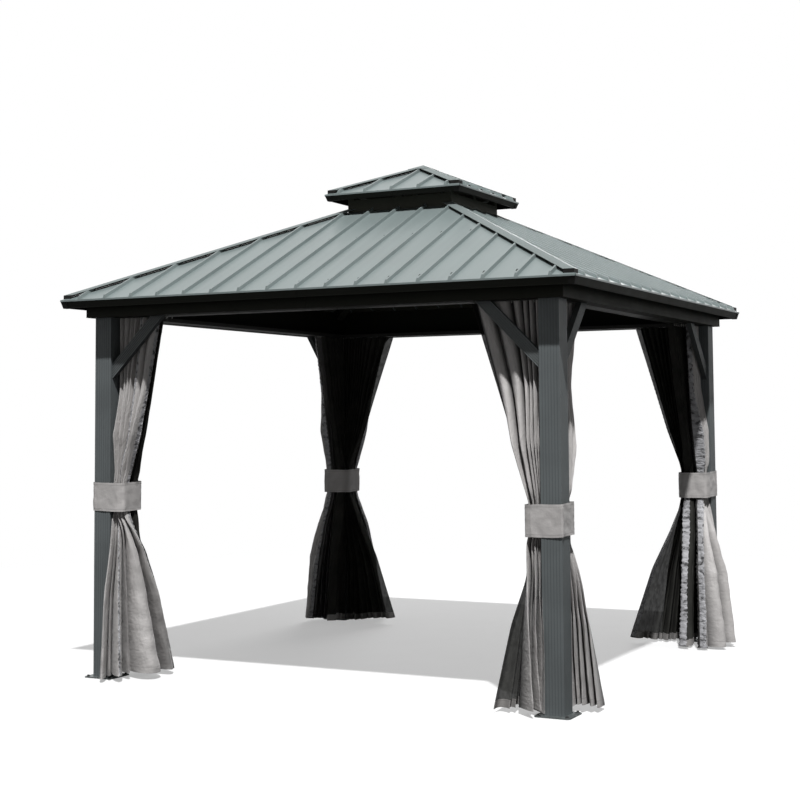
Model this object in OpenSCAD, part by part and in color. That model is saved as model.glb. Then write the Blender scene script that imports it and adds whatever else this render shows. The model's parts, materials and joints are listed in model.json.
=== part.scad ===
// Square hard-top gazebo: open metal frame, two-tier ribbed sheet roof,
// curtains and netting gathered at the four posts. Millimetres, +Z up,
// origin on the ground at the centre, -Y is the front.

/* [Roof] */
// Width of the lower roof over its eaves
roof_w = 3000; // [2600:10:3600]
// How far the lower roof reaches past the posts
roof_reach = 138; // [100:1:240]
// Height of the lower roof's eave edge above the underside of the beams
eave_rise = 95; // [70:1:160]
// Pitch of the lower roof in degrees
roof_pitch = 25; // [15:0.5:32]
// Thickness of the roof sheets
sheet_t = 2; // [1:0.5:3]
// Distance between the standing ribs
rib_pitch = 171.4; // [120:0.1:240]
// Height of a standing rib above its sheet
rib_h = 16; // [12:1:30]
// Width of a standing rib at its foot
rib_w = 19; // [14:1:40]
// Width of a standing rib at its top
rib_top_w = 10; // [8:1:20]
// How far the ribs stop short of the eave
rib_stop = 12; // [4:1:40]
// Height of the turned-down hem at the eave
hem_h = 9; // [5:1:15]
// Half width of a hip cap, measured along the eave
hip_cap_w = 54; // [40:1:90]
// How far a hip cap stops short of the eave
cap_stop = 16; // [10:1:100]
// Thickness of the hip caps
cap_t = 2; // [1:0.5:4]
// Gap between two sheets below a hip cap
hip_gap = 2; // [1:0.5:8]

/* [Upper roof] */
// How far the upper roof reaches past the vent neck
upper_reach = 102; // [80:1:160]
// Height of the upper roof's eave edge above the lower sheets at the neck
vent_rise = 100; // [85:1:180]
// Pitch of the upper roof in degrees
upper_pitch = 22.5; // [15:0.5:30]
// Half width of the cap on the peak
peak_w = 70; // [50:1:100]

/* [Eave trim] */
// Height of the lower eave trim
trim_h = 44; // [30:1:60]
// Height of the upper eave trim
upper_trim_h = 36; // [28:1:50]
// How far the foot of the trim leans inward
trim_lean = 15; // [5:1:20]
// Thickness of the trim
trim_t = 2.5; // [1.5:0.5:4]
// Depth of the trim's flange under the sheet
trim_flange = 40; // [20:1:60]
// Depth of the trim's return lip at its foot
trim_lip = 12; // [6:1:18]
// Leg of a corner cap along each eave
corner_leg = 42; // [30:1:80]
// Thickness of a corner cap
corner_t = 1.8; // [1:0.1:2]

/* [Frame] */
// Width of a square post
post_w = 105; // [80:1:140]
// Wall of posts and beams
wall_t = 3; // [2:0.5:5]
// Number of flutes on each post face
flute_count = 6; // [3:1:8]
// Width of a flute
flute_w = 4; // [3:0.5:10]
// Depth of a flute
flute_d = 1; // [0.5:0.1:2]
// Headroom below the beams
beam_z = 1957; // [1800:1:2300]
// Width of a beam
beam_w = 90; // [60:1:110]
// How far a beam stands proud of the posts
beam_proud = 36; // [0:1:60]
// Leg of a corner piece of the beams
elbow_leg = 175; // [150:1:260]
// Open seam between two lengths of beam or trim
seam_gap = 1.6; // [0.5:0.1:3]
// Reach of a brace along post and beam
brace_reach = 335; // [250:1:420]
// Width of a brace
brace_w = 57; // [40:1:80]
// Thickness of a brace
brace_t = 30; // [20:1:40]
// Setback of a brace from the inner face of the beam
brace_set = 9; // [4:1:20]
// Margin of a base plate round its post
plate_margin = 37.5; // [25:0.5:60]
// Thickness of a base plate
plate_t = 6; // [4:1:12]
// Distance of an anchor hole from the edges of its plate
anchor_inset = 18.5; // [12:0.5:24]
// Diameter of an anchor hole
anchor_d = 11; // [8:0.5:14]

/* [Under the roof] */
// Width of a rafter
rafter_w = 50; // [30:1:80]
// Depth of a rafter
rafter_h = 45; // [30:1:70]
// Width of a purlin
purlin_w = 40; // [25:1:60]
// Distance of the purlins from the centre
purlin_place = 800; // [600:5:1000]
// Width of the vent neck
neck_w = 664; // [560:2:720]
// Width of the vent's bars
neck_bar = 38; // [25:1:50]
// Depth of the lower vent ring below the sheets
ring_h = 70; // [40:1:90]
// Upstand of the lower vent ring above the sheets
ring_up = 70; // [5:1:75]
// Depth of the upper vent ring
upper_ring_h = 40; // [30:1:50]

/* [Curtains] */
// Width of a double curtain track
track_w = 88; // [70:1:96]
// Height of a double curtain track
track_h = 22; // [16:1:30]
// Width of a slot in the track
slot_w = 6; // [4:0.5:8]
// Spread of the gathered cloth along its track
top_spread = 350; // [200:5:500]
// Height of the middle of the tie band at the front right post
tie_z = 908; // [700:1:1200]
// How much higher each tie band sits, from the front right post round by the back
tie_lift = [0, 62, 58, 70]; // [0:1:100]
// Height of a tie band
tie_h = 155; // [80:5:250]
// Depth of the gathered cloth at the tie band
bundle_w = 78; // [60:1:110]
// Spread of the loose cloth at its hem
hem_spread = 330; // [150:5:360]
// How far the hem swings outside the post
hem_out = 130; // [0:1:135]
// Clearance of the hems above the ground
hem_z = 16; // [10:1:60]
// Thickness of a tie band
tie_t = 3; // [2:0.5:6]
// Room between two layers of cloth
cloth_gap = 2; // [1:0.5:4]

/* [Hidden] */
// Room left between faces that seat on each other
fit = 0.2;
$fn = 48;
SIDES = ["front", "right", "back", "left"];
CORNERS = ["front_right", "back_right", "back_left", "front_left"];

roof_half = roof_w / 2;
neck_half = neck_w / 2;
upper_half = neck_half + upper_reach;
post_out = roof_half - roof_reach;
post_in = post_out - post_w;
post_mid = post_out - post_w / 2;
beam_out = post_out + beam_proud;
beam_in = beam_out - beam_w;
brace_in = beam_in + brace_set;
track_in = beam_in - fit - track_w;
lane_w = track_w / 2;
plate_w = post_w + 2 * plate_margin;
anchor_pitch = plate_w - 2 * anchor_inset;
eave_z = beam_z + eave_rise;
// A tier is its half width, the height of its eave edge and its pitch
LOWER = [roof_half, eave_z, roof_pitch];
upper_z = sheet_top(LOWER, neck_half) + vent_rise;
UPPER = [upper_half, upper_z, upper_pitch];
peak_z = upper_z + upper_half * tan(upper_pitch);
tall = 2 * peak_z;
wide = 2 * roof_w;
cap_seat = rib_h + fit;

function tier_half(tier) = tier[0];
// Height of the top and the underside of a sheet at distance d from the centre
function sheet_top(tier, d) = tier[1] + (tier[0] - d) * tan(tier[2]);
function sheet_under(tier, d) = sheet_top(tier, d) - (sheet_t + fit) / cos(tier[2]);
// Places of the ribs along one eave, with one rib on the middle line
function rib_count(half) = floor((half - hip_cap_w) / rib_pitch);
function rib_places(half) = [for (i = [-rib_count(half):rib_count(half)]) i * rib_pitch];
// One rib's outline, left to right, inset all round by the sheet's thickness for its underside
function rib_points(x, inset) = [
    [x - rib_w / 2 + inset, -inset],
    [x - rib_top_w / 2 + inset, rib_h - inset],
    [x + rib_top_w / 2 - inset, rib_h - inset],
    [x + rib_w / 2 - inset, -inset]
];
function reversed(list) = [for (i = [len(list) - 1:-1:0]) list[i]];
function rib_line(half, inset) = [for (x = rib_places(half)) each rib_points(x, inset)];

// Turn a front piece to side k, counted from the front to the right
module turn(k) {
    rotate([0, 0, 90 * k])
        children();
}

module all_sides() {
    for (k = [0:3])
        turn(k)
            children();
}

// Repeat a piece on both sides of the hip plane at the front right corner
module both_sides() {
    children();
    mirror([1, 1, 0])
        children();
}

// Extrude a section drawn as distance from the centre and height along the front
module along_front(length, place = 0) {
    translate([place, 0, 0])
        rotate([0, 0, -90])
            rotate([90, 0, 0])
                linear_extrude(height = length, center = true)
                    children();
}

// Everything above and below a shape drawn in plan
module over_plan() {
    translate([0, 0, -tall / 2])
        linear_extrude(height = 2 * tall)
            children();
}

// Slab parallel to the front sheet of a tier, between two distances above it
module front_slab(tier, low, high) {
    translate([0, -tier[0], tier[1]])
        rotate([tier[2], 0, 0])
            translate([-wide / 2, -wide / 2, low])
                cube([wide, wide, high - low]);
}

// Plan of the front face between two distances from the centre, cut back at the hips
module front_plan(inner, outer, cut = 0) {
    polygon([
        [cut - outer, -outer],
        [outer - cut, -outer],
        [inner - cut, -inner],
        [cut - inner, -inner]
    ]);
}

// Plan of the front half of a strip that runs along the front right hip
module hip_plan(inner, outer, width) {
    polygon([
        [inner, -inner],
        [outer, -outer],
        [outer - width, -outer],
        [inner - width, -inner]
    ]);
}

// Extrude a section across the front sheet of a tier between two distances up its slope
module up_slope(tier, low, high) {
    translate([0, -tier_half(tier), tier[1]])
        rotate([tier[2], 0, 0])
            translate([0, high, 0])
                rotate([90, 0, 0])
                    linear_extrude(height = high - low)
                        children();
}

// Front sheet of a tier: folded ribs with closed ends, a flat edge and a turned-down hem
module front_sheet(tier, inner) {
    half = tier_half(tier);
    intersection() {
        over_plan()
            front_plan(inner, half, hip_gap);
        union() {
            up_slope(tier, rib_stop, half / cos(tier[2]))
                polygon(concat(
                    [[-half, 0]],
                    rib_line(half, 0),
                    [[half, 0], [half, -sheet_t]],
                    reversed(rib_line(half, sheet_t)),
                    [[-half, -sheet_t]]
                ));
            up_slope(tier, -rib_stop, rib_stop + sheet_t)
                translate([-half, -sheet_t])
                    square([2 * half, sheet_t]);
            up_slope(tier, rib_stop, rib_stop + sheet_t)
                for (x = rib_places(half))
                    polygon(rib_points(x, 0));
            translate([-half, -half, tier[1] - hem_h])
                cube([2 * half, sheet_t, hem_h - sheet_t / 2]);
        }
    }
}

// Trim section: flange under the sheet, leaning face and return lip
module trim_section(tier, height) {
    edge = tier_half(tier) - sheet_t - fit;
    foot = tier_half(tier) - trim_lean;
    foot_z = tier[1] - height;
    back = edge - trim_flange;
    polygon([
        [back, sheet_under(tier, back)],
        [edge, sheet_under(tier, edge)],
        [foot, foot_z],
        [foot - trim_lip, foot_z],
        [foot - trim_lip, foot_z + trim_t],
        [foot - trim_t, foot_z + trim_t],
        [edge - trim_t, sheet_under(tier, edge) - trim_t],
        [back, sheet_under(tier, back) - trim_t]
    ]);
}

module front_trim(tier, height) {
    half = tier_half(tier);
    length = half - seam_gap / 2;
    intersection() {
        over_plan()
            front_plan(0, half, fit);
        for (side = [-1, 1])
            along_front(length, side * (length + seam_gap) / 2)
                trim_section(tier, height);
    }
}

// Cover on the outside of two trims where they meet at a corner
module corner_cap(tier, height) {
    half = tier_half(tier);
    edge = half - sheet_t;
    foot = half - trim_lean + fit;
    top_z = tier[1] - hem_h - fit;
    foot_z = tier[1] - height - fit;
    run = (foot - edge) / (foot_z - sheet_under(tier, edge));
    top = edge + run * (top_z - sheet_under(tier, edge));
    both_sides()
        intersection() {
            over_plan()
                polygon([[half - corner_leg, -half], [half, -half], [half - corner_leg, corner_leg - half]]);
            along_front(2 * half)
                polygon([
                    [top, top_z],
                    [top + corner_t, top_z],
                    [foot + corner_t, foot_z - corner_t],
                    [foot - trim_lip, foot_z - corner_t],
                    [foot - trim_lip, foot_z],
                    [foot, foot_z]
                ]);
        }
}

// Folded cap over the front right hip
module hip_cap(tier, inner) {
    both_sides()
        intersection() {
            over_plan()
                hip_plan(inner, tier_half(tier) - cap_stop, hip_cap_w);
            front_slab(tier, cap_seat, cap_seat + cap_t);
        }
}

// Closure of the open end of the front right hip cap
module hip_end(tier) {
    edge = tier_half(tier) - cap_stop + fit;
    both_sides()
        intersection() {
            over_plan()
                hip_plan(edge, edge + corner_t, hip_cap_w);
            front_slab(tier, fit, cap_seat + cap_t);
        }
}

// Folded bar below the front right hip
module hip_bar(tier, inner, outer, depth) {
    both_sides()
        intersection() {
            over_plan()
                hip_plan(inner, outer, rafter_w / 2 * sqrt(2));
            front_slab(tier, -sheet_t - fit - depth, -sheet_t - fit);
        }
}

// Hollow beam section with a top that follows the sheet
module beam_section() {
    difference() {
        polygon([
            [beam_in, beam_z],
            [beam_out, beam_z],
            [beam_out, sheet_under(LOWER, beam_out)],
            [beam_in, sheet_under(LOWER, beam_in)]
        ]);
        polygon([
            [beam_in + wall_t, beam_z + wall_t],
            [beam_out - wall_t, beam_z + wall_t],
            [beam_out - wall_t, sheet_under(LOWER, beam_out - wall_t) - wall_t],
            [beam_in + wall_t, sheet_under(LOWER, beam_in + wall_t) - wall_t]
        ]);
    }
}

module beam(k) {
    length = beam_out - elbow_leg - seam_gap / 2 - fit;
    color("dimgray")
        turn(k)
            for (side = [-1, 1])
                along_front(length, side * (length + seam_gap) / 2)
                    beam_section();
}

module beam_corners() {
    color("dimgray")
        all_sides()
            both_sides()
                intersection() {
                    over_plan()
                        polygon([
                            [beam_out - elbow_leg, -beam_out],
                            [beam_out, -beam_out],
                            [beam_out - elbow_leg, elbow_leg - beam_out]
                        ]);
                    along_front(2 * beam_out)
                        beam_section();
                }
}

// Fluted square tube section of a post
module post_section() {
    pitch = post_w / (flute_count + 1);
    difference() {
        square(post_w, center = true);
        square(post_w - 2 * wall_t, center = true);
        all_sides()
            for (i = [1:flute_count])
                translate([i * pitch - post_w / 2 - flute_w / 2, -post_w / 2 - flute_d])
                    square([flute_w, 2 * flute_d]);
    }
}

module post(k) {
    color("slategray")
        turn(k)
            translate([post_mid, -post_mid, plate_t + fit])
                linear_extrude(height = beam_z - plate_t - 2 * fit)
                    post_section();
}

module base_plates() {
    color("silver")
        all_sides()
            translate([post_mid, -post_mid, 0])
                linear_extrude(height = plate_t)
                    difference() {
                        union() {
                            square([plate_w, anchor_pitch], center = true);
                            square([anchor_pitch, plate_w], center = true);
                            for (x = [-1, 1], y = [-1, 1])
                                translate([x, y] * anchor_pitch / 2)
                                    circle(r = anchor_inset);
                        }
                        for (x = [-1, 1], y = [-1, 1])
                            translate([x, y] * anchor_pitch / 2)
                                circle(d = anchor_d);
                    }
}

// Grooved brace bar that runs from a post up to the front beam
module brace() {
    reach = brace_reach;
    groove = brace_w / 11;
    intersection() {
        translate([post_in - fit - reach, -post_out, beam_z - fit - reach])
            cube([reach, post_w, reach]);
        translate([post_in - fit - reach, -brace_in - brace_t, beam_z - fit])
            rotate([0, 135, 0])
                translate([-brace_w, 0, -reach])
                    linear_extrude(height = 4 * reach)
                        difference() {
                            square([brace_w, brace_t]);
                            for (i = [1:2:9], y = [-flute_d, brace_t - flute_d])
                                translate([i * groove, y])
                                    square([groove, 2 * flute_d]);
                        }
    }
}

module braces(k) {
    color("slategray")
        turn(k)
            both_sides()
                brace();
}

// Double track on the inner face of a beam, mitred at the corners, open below along two slots
module curtain_tracks() {
    color("gainsboro")
        all_sides()
            intersection() {
                over_plan()
                    front_plan(track_in, beam_in, fit);
                along_front(2 * beam_in)
                    difference() {
                        translate([track_in, beam_z])
                            square([track_w, track_h]);
                        for (i = [0, 1])
                            translate([track_in + i * lane_w, beam_z]) {
                                translate([wall_t / 2, wall_t])
                                    square([lane_w - wall_t, track_h - 2 * wall_t]);
                                translate([(lane_w - slot_w) / 2, -wall_t])
                                    square([slot_w, 3 * wall_t]);
                            }
                    }
            }
}

module hip_rafters() {
    color("darkslategray")
        all_sides()
            hip_bar(LOWER, neck_half + fit, beam_in - fit, rafter_h);
}

module middle_rafters() {
    color("darkslategray")
        all_sides()
            intersection() {
                over_plan()
                    translate([-rafter_w / 2, fit - beam_in])
                        square([rafter_w, beam_in - neck_half - 2 * fit]);
                front_slab(LOWER, -sheet_t - fit - rafter_h, -sheet_t - fit);
            }
}

module purlins() {
    hip_side = rafter_w / 2 * sqrt(2) + fit;
    color("darkslategray")
        all_sides()
            intersection() {
                over_plan()
                    difference() {
                        front_plan(purlin_place - purlin_w / 2, purlin_place + purlin_w / 2, hip_side);
                        translate([-rafter_w / 2 - fit, -roof_half])
                            square([rafter_w + 2 * fit, roof_half]);
                    }
                front_slab(LOWER, -sheet_t - fit - rafter_h, -sheet_t - fit);
            }
}

// Mitred bar of one of the vent's rings
module ring_bar(low, high_out, high_in) {
    intersection() {
        over_plan()
            front_plan(neck_half - neck_bar, neck_half, fit);
        along_front(neck_w)
            polygon([
                [neck_half - neck_bar, low],
                [neck_half, low],
                [neck_half, high_out],
                [neck_half - neck_bar, high_in]
            ]);
    }
}

ring_top = sheet_top(LOWER, neck_half) + ring_up;
upper_ring_z = sheet_under(UPPER, neck_half) - upper_ring_h;

module vent_ring() {
    color("dimgray")
        all_sides()
            ring_bar(sheet_top(LOWER, neck_half) - ring_h, ring_top, ring_top);
}

module vent_uprights() {
    corner = neck_half - neck_bar;
    color("dimgray")
        all_sides()
            for (x = [corner, -neck_bar / 2])
                translate([x, -neck_half, ring_top + fit])
                    cube([neck_bar, neck_bar, upper_ring_z - ring_top - 2 * fit]);
}

module upper_ring() {
    color("dimgray")
        all_sides()
            ring_bar(
                upper_ring_z,
                sheet_under(UPPER, neck_half),
                sheet_under(UPPER, neck_half - neck_bar)
            );
}

module upper_rafters() {
    color("darkslategray")
        all_sides()
            hip_bar(UPPER, rafter_w, neck_half - neck_bar - fit, rafter_h / 2);
}

module roof(k) {
    color("darkgray")
        turn(k)
            front_sheet(LOWER, neck_half + fit);
}

module eave_trims() {
    color("dimgray")
        all_sides()
            front_trim(LOWER, trim_h);
}

module eave_corner_caps() {
    color("black")
        all_sides() {
            corner_cap(LOWER, trim_h);
            hip_end(LOWER);
        }
}

module hip_caps() {
    color("gray")
        all_sides()
            hip_cap(LOWER, neck_half + fit);
}

module upper_roof() {
    color("darkgray")
        all_sides()
            front_sheet(UPPER, 2 * hip_gap);
}

module upper_trims() {
    color("dimgray")
        all_sides()
            front_trim(UPPER, upper_trim_h);
}

module upper_corner_caps() {
    color("black")
        all_sides() {
            corner_cap(UPPER, upper_trim_h);
            hip_end(UPPER);
        }
}

module upper_hip_caps() {
    color("gray")
        all_sides()
            hip_cap(UPPER, hip_cap_w + fit);
}

// Small pyramid that closes the peak over the ends of the hip caps
module peak_cap() {
    seat = cap_seat + cap_t + fit;
    color("gray")
        all_sides()
            intersection() {
                over_plan()
                    polygon([[-peak_w, -peak_w], [peak_w, -peak_w], [0, 0]]);
                front_slab(UPPER, seat, seat + cap_t);
            }
}

// Flat block between two corners in plan, one cloth layer thick in height
module layer(x0, x1, d0, d1, z) {
    translate([x0, -d1, z])
        cube([x1 - x0, d1 - d0, cloth_gap]);
}

function tie_low(k) = tie_z + tie_lift[k] - tie_h / 2;
function tie_high(k) = tie_low(k) + tie_h;
cloth_top = beam_z - cloth_gap - fit;
cloth_end = post_in - cloth_gap;
bundle_in = post_in - bundle_w;

// Gathered cloth that hangs beside a post from the front track, pinched at the tie band
module hanging_cloth(k, top_d, waist_d, foot_d, foot_x) {
    hull() {
        layer(post_in - top_spread, cloth_end, top_d[0], top_d[1], cloth_top - cloth_gap);
        layer(bundle_in, cloth_end, waist_d[0], waist_d[1], tie_high(k));
    }
    hull() {
        layer(bundle_in, cloth_end, waist_d[0], waist_d[1], tie_low(k));
        layer(bundle_in, cloth_end, waist_d[0], waist_d[1], tie_high(k));
    }
    hull() {
        layer(bundle_in, cloth_end, waist_d[0], waist_d[1], tie_low(k));
        layer(foot_x, cloth_end, foot_d[0], foot_d[1], hem_z);
    }
}

waist_split = post_in + cloth_gap;
waist_out = brace_in - cloth_gap;

module curtain(k) {
    color("rosybrown")
        turn(k)
            both_sides()
                hanging_cloth(
                    k,
                    [track_in + lane_w + cloth_gap, beam_in - cloth_gap],
                    [waist_split + cloth_gap, waist_out],
                    [post_mid, post_out + hem_out],
                    post_in - hem_spread
                );
}

module netting(k) {
    color("black")
        turn(k)
            both_sides()
                hanging_cloth(
                    k,
                    [track_in, track_in + lane_w],
                    [bundle_in, waist_split],
                    [bundle_in - hem_out, post_mid - cloth_gap],
                    post_in - hem_spread + cloth_gap
                );
}

// Flat band round a post and its gathered cloth
module tie_bands() {
    low = bundle_in - fit;
    high = post_out + fit;
    size = high - low;
    color("gray")
        for (k = [0:3])
            turn(k)
                translate([(low + high) / 2, -(low + high) / 2, tie_low(k)])
                    linear_extrude(height = tie_h)
                        difference() {
                            square(size + 2 * tie_t, center = true);
                            square(size, center = true);
                        }
}

for (k = [0:3]) {
    post(k);
    braces(k);
    beam(k);
    roof(k);
    curtain(k);
    netting(k);
}
base_plates();
beam_corners();
curtain_tracks();
hip_rafters();
middle_rafters();
purlins();
vent_ring();
vent_uprights();
upper_ring();
upper_rafters();
eave_trims();
eave_corner_caps();
hip_caps();
upper_roof();
upper_trims();
upper_corner_caps();
upper_hip_caps();
peak_cap();
tie_bands();
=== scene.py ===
import json
import math
from dataclasses import dataclass, replace

import bpy
import numpy as np
from mathutils import Matrix, Vector, noise


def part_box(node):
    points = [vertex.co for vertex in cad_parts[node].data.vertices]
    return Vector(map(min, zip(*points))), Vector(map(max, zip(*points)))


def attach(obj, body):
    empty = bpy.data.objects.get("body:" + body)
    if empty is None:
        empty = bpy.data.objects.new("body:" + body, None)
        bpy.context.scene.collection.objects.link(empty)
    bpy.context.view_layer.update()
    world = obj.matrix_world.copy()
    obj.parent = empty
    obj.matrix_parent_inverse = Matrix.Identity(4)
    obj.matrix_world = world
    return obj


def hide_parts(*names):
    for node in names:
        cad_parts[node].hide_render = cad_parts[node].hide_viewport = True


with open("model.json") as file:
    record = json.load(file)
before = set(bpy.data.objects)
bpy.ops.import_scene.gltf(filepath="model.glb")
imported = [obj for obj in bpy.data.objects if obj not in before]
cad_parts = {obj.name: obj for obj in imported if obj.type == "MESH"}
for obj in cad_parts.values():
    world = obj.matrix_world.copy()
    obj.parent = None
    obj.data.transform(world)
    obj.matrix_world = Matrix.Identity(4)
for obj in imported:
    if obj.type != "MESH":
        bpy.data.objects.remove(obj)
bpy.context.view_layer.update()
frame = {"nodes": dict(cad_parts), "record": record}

CORNERS = ["front_right", "back_right", "back_left", "front_left"]

# Places read from the frame, in metres
post_low, post_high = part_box("post_front_right")
POST_IN = post_low.x
POST_OUT = post_high.x
POST_W = POST_OUT - POST_IN
POST_MID = POST_IN + POST_W / 2
BEAM_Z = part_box("beam_front")[0].z
roof_low, roof_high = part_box("roof_front")
ROOF_HALF = -roof_low.y
NECK_HALF = -roof_high.y
track_low, track_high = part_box("curtain_tracks")
TRACK_Z = track_low.z
TRACK_OUT = track_high.x
plate_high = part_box("base_plates")[1]
upper_low, upper_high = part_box("upper_roof")
UPPER_HALF = upper_high.x

# Sizes of the solids that the added details follow
ROOF_PITCH = math.radians(25)
UPPER_PITCH = math.radians(22.5)
HEM_H = 0.009
EAVE_Z = roof_low.z + HEM_H
UPPER_Z = upper_low.z + HEM_H
RIB_PITCH = 0.1714
RIB_W = 0.019
RIB_TOP_W = 0.01
RIB_H = 0.016
RIB_STOP = 0.012
# Ribs on each side of the middle one
RIBS = 8
UPPER_RIBS = 2
LANE_W = 0.044
ANCHOR_INSET = 0.0185
FLUTE_PITCH = POST_W / 7
# Half width of a flute as a share of the pitch, and how far flutes reach from the middle of a face
FLUTE_SHARE = 0.15
FLUTE_REACH = 0.042
BRACE_REACH = 0.335
BRACE_GROOVE = 0.057 / 11
RIDGE_SHARE = 0.52
# Middle and half height of the tie bands, from the front right post round by the back
TIE_Z = [0.908, 0.97, 0.966, 0.978]
TIE_HALF = 0.0775

# Camera at the place fitted to the photograph
CAMERA_PLACE = Vector((3.9013, -8.0715, 1.3909))
CAMERA_YAW = 0.4674
CAMERA_PITCH = 0.0687
CAMERA_ROLL = -0.0070
CAMERA_LENS = 68.19
CAMERA_SHIFT = (0.0016, -0.1071)


def make_camera():
    data = bpy.data.cameras.new("camera")
    camera = bpy.data.objects.new("camera", data)
    bpy.context.collection.objects.link(camera)
    data.sensor_width = 36
    data.lens = CAMERA_LENS
    data.shift_x, data.shift_y = CAMERA_SHIFT
    forward = Vector((
        -math.sin(CAMERA_YAW) * math.cos(CAMERA_PITCH),
        math.cos(CAMERA_YAW) * math.cos(CAMERA_PITCH),
        math.sin(CAMERA_PITCH),
    ))
    level = Vector((math.cos(CAMERA_YAW), math.sin(CAMERA_YAW), 0))
    upward = level.cross(forward)
    right = level * math.cos(CAMERA_ROLL) + upward * math.sin(CAMERA_ROLL)
    up = right.cross(forward)
    turn = Matrix((right, up, -forward)).transposed().to_4x4()
    camera.matrix_world = Matrix.Translation(CAMERA_PLACE) @ turn
    bpy.context.scene.camera = camera


class Nodes:
    """Short way to write a material's node tree."""

    def __init__(self, name):
        self.material = bpy.data.materials.new(name)
        self.material.use_nodes = True
        self.tree = self.material.node_tree
        self.shader = self.tree.nodes["Principled BSDF"]
        self.output = self.tree.nodes["Material Output"]

    def add(self, kind, inputs=None, **settings):
        node = self.tree.nodes.new(kind)
        for key, value in settings.items():
            setattr(node, key, value)
        for key, value in (inputs or {}).items():
            self.put(node.inputs[key], value)
        return node

    def put(self, socket, value):
        if isinstance(value, bpy.types.NodeSocket):
            self.tree.links.new(value, socket)
        else:
            socket.default_value = value

    def set(self, **values):
        for key, value in values.items():
            self.put(self.shader.inputs[key.replace("_", " ")], value)

    def math(self, operation, first, second=0.0, clamp=False):
        node = self.add("ShaderNodeMath", {0: first, 1: second}, operation=operation, use_clamp=clamp)
        return node.outputs[0]

    def part_of_step(self, value):
        """Fraction of a value above -10, from 0 to 1 in each whole step."""
        return self.math("FRACT", self.math("ADD", value, 10.0))

    def object_coords(self):
        return self.add("ShaderNodeTexCoord").outputs["Object"]

    def axes(self, vector):
        return self.add("ShaderNodeSeparateXYZ", {"Vector": vector}).outputs

    def normal_axes(self):
        return self.axes(self.add("ShaderNodeNewGeometry").outputs["Normal"])

    def noise(self, vector, scale, detail=2.0, rough=0.5):
        node = self.add(
            "ShaderNodeTexNoise",
            {"Vector": vector, "Scale": scale, "Detail": detail, "Roughness": rough},
        )
        return node.outputs["Fac"]

    def scaled(self, vector, scale):
        return self.add("ShaderNodeMapping", {"Vector": vector, "Scale": scale}).outputs["Vector"]

    def ramp(self, factor, stops):
        node = self.add("ShaderNodeValToRGB", {"Fac": factor})
        elements = node.color_ramp.elements
        while len(elements) < len(stops):
            elements.new(0.5)
        for element, (place, color) in zip(elements, stops):
            element.position = place
            element.color = (*color, 1) if len(color) == 3 else color
        return node.outputs["Color"]

    def span(self, value, low, high):
        node = self.add("ShaderNodeMapRange", {"Value": value, "To Min": low, "To Max": high})
        return node.outputs["Result"]

    def mix(self, factor, first, second):
        node = self.add("ShaderNodeMix", data_type="RGBA")
        self.put(node.inputs["Factor"], factor)
        self.put(node.inputs[6], first)
        self.put(node.inputs[7], second)
        return node.outputs[2]

    def bump(self, height, distance, strength=1.0, under=None):
        inputs = {"Height": height, "Distance": distance, "Strength": strength}
        if under is not None:
            inputs["Normal"] = under
        return self.add("ShaderNodeBump", inputs).outputs["Normal"]


def shade(color, factor):
    return tuple(channel * factor for channel in color)


def facing_down(n):
    """1 on faces that look at the ground, 0 on the others."""
    return n.math("LESS_THAN", n.normal_axes()["Z"], -0.7)


def post_flutes(n, place):
    """1 in the flutes of the posts."""
    axes = n.axes(place)
    faces_y = n.math("GREATER_THAN", n.math("ABSOLUTE", n.normal_axes()["Y"]), 0.5)
    run = n.mix(faces_y, n.math("ABSOLUTE", axes["Y"]), n.math("ABSOLUTE", axes["X"]))
    offset = n.math("SUBTRACT", run, POST_MID)
    beside = n.part_of_step(n.math("DIVIDE", offset, FLUTE_PITCH))
    flute = n.math("LESS_THAN", n.math("ABSOLUTE", n.math("SUBTRACT", beside, 0.5)), FLUTE_SHARE)
    return n.math("MULTIPLY", flute, n.math("LESS_THAN", n.math("ABSOLUTE", offset), FLUTE_REACH))


def brace_grooves(n, place):
    """1 in the grooves that run along the braces."""
    axes = n.axes(place)
    run = n.math("MINIMUM", n.math("ABSOLUTE", axes["X"]), n.math("ABSOLUTE", axes["Y"]))
    run = n.math("SUBTRACT", run, POST_IN - BRACE_REACH)
    rise = n.math("SUBTRACT", axes["Z"], BEAM_Z)
    over = n.math("MULTIPLY", n.math("ADD", run, rise), math.sqrt(0.5) / (2 * BRACE_GROOVE))
    return n.math("GREATER_THAN", n.part_of_step(over), RIDGE_SHARE)


def coated_metal(name, color, rough, gloss=0.3, spread=0.14, grain=700, grooves=None, groove_shade=0.0):
    """Powder coat: a fine orange-peel grain, slow colour drift and dusty patches, painted shade in
    grooves.
    """
    n = Nodes(name)
    place = n.object_coords()
    drift = n.noise(place, 3.0, 4)
    coat = n.ramp(drift, [(0.3, shade(color, 1 - spread)), (0.7, shade(color, 1 + spread))])
    # Painted shade: the flutes of the posts and the grooves of the braces get a much darker coat
    if grooves:
        dirt_and_groove_shade = n.math("MULTIPLY", grooves(n, place), groove_shade)
        coat = n.mix(dirt_and_groove_shade, coat, (*shade(color, 0.2), 1))
    n.set(
        Base_Color=coat,
        Roughness=n.span(n.noise(place, 9.0, 5), rough - 0.07, rough + 0.07),
        Specular_IOR_Level=gloss,
        Normal=n.bump(n.noise(place, grain, 2), 0.0006, 0.25),
    )
    return n.material


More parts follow.
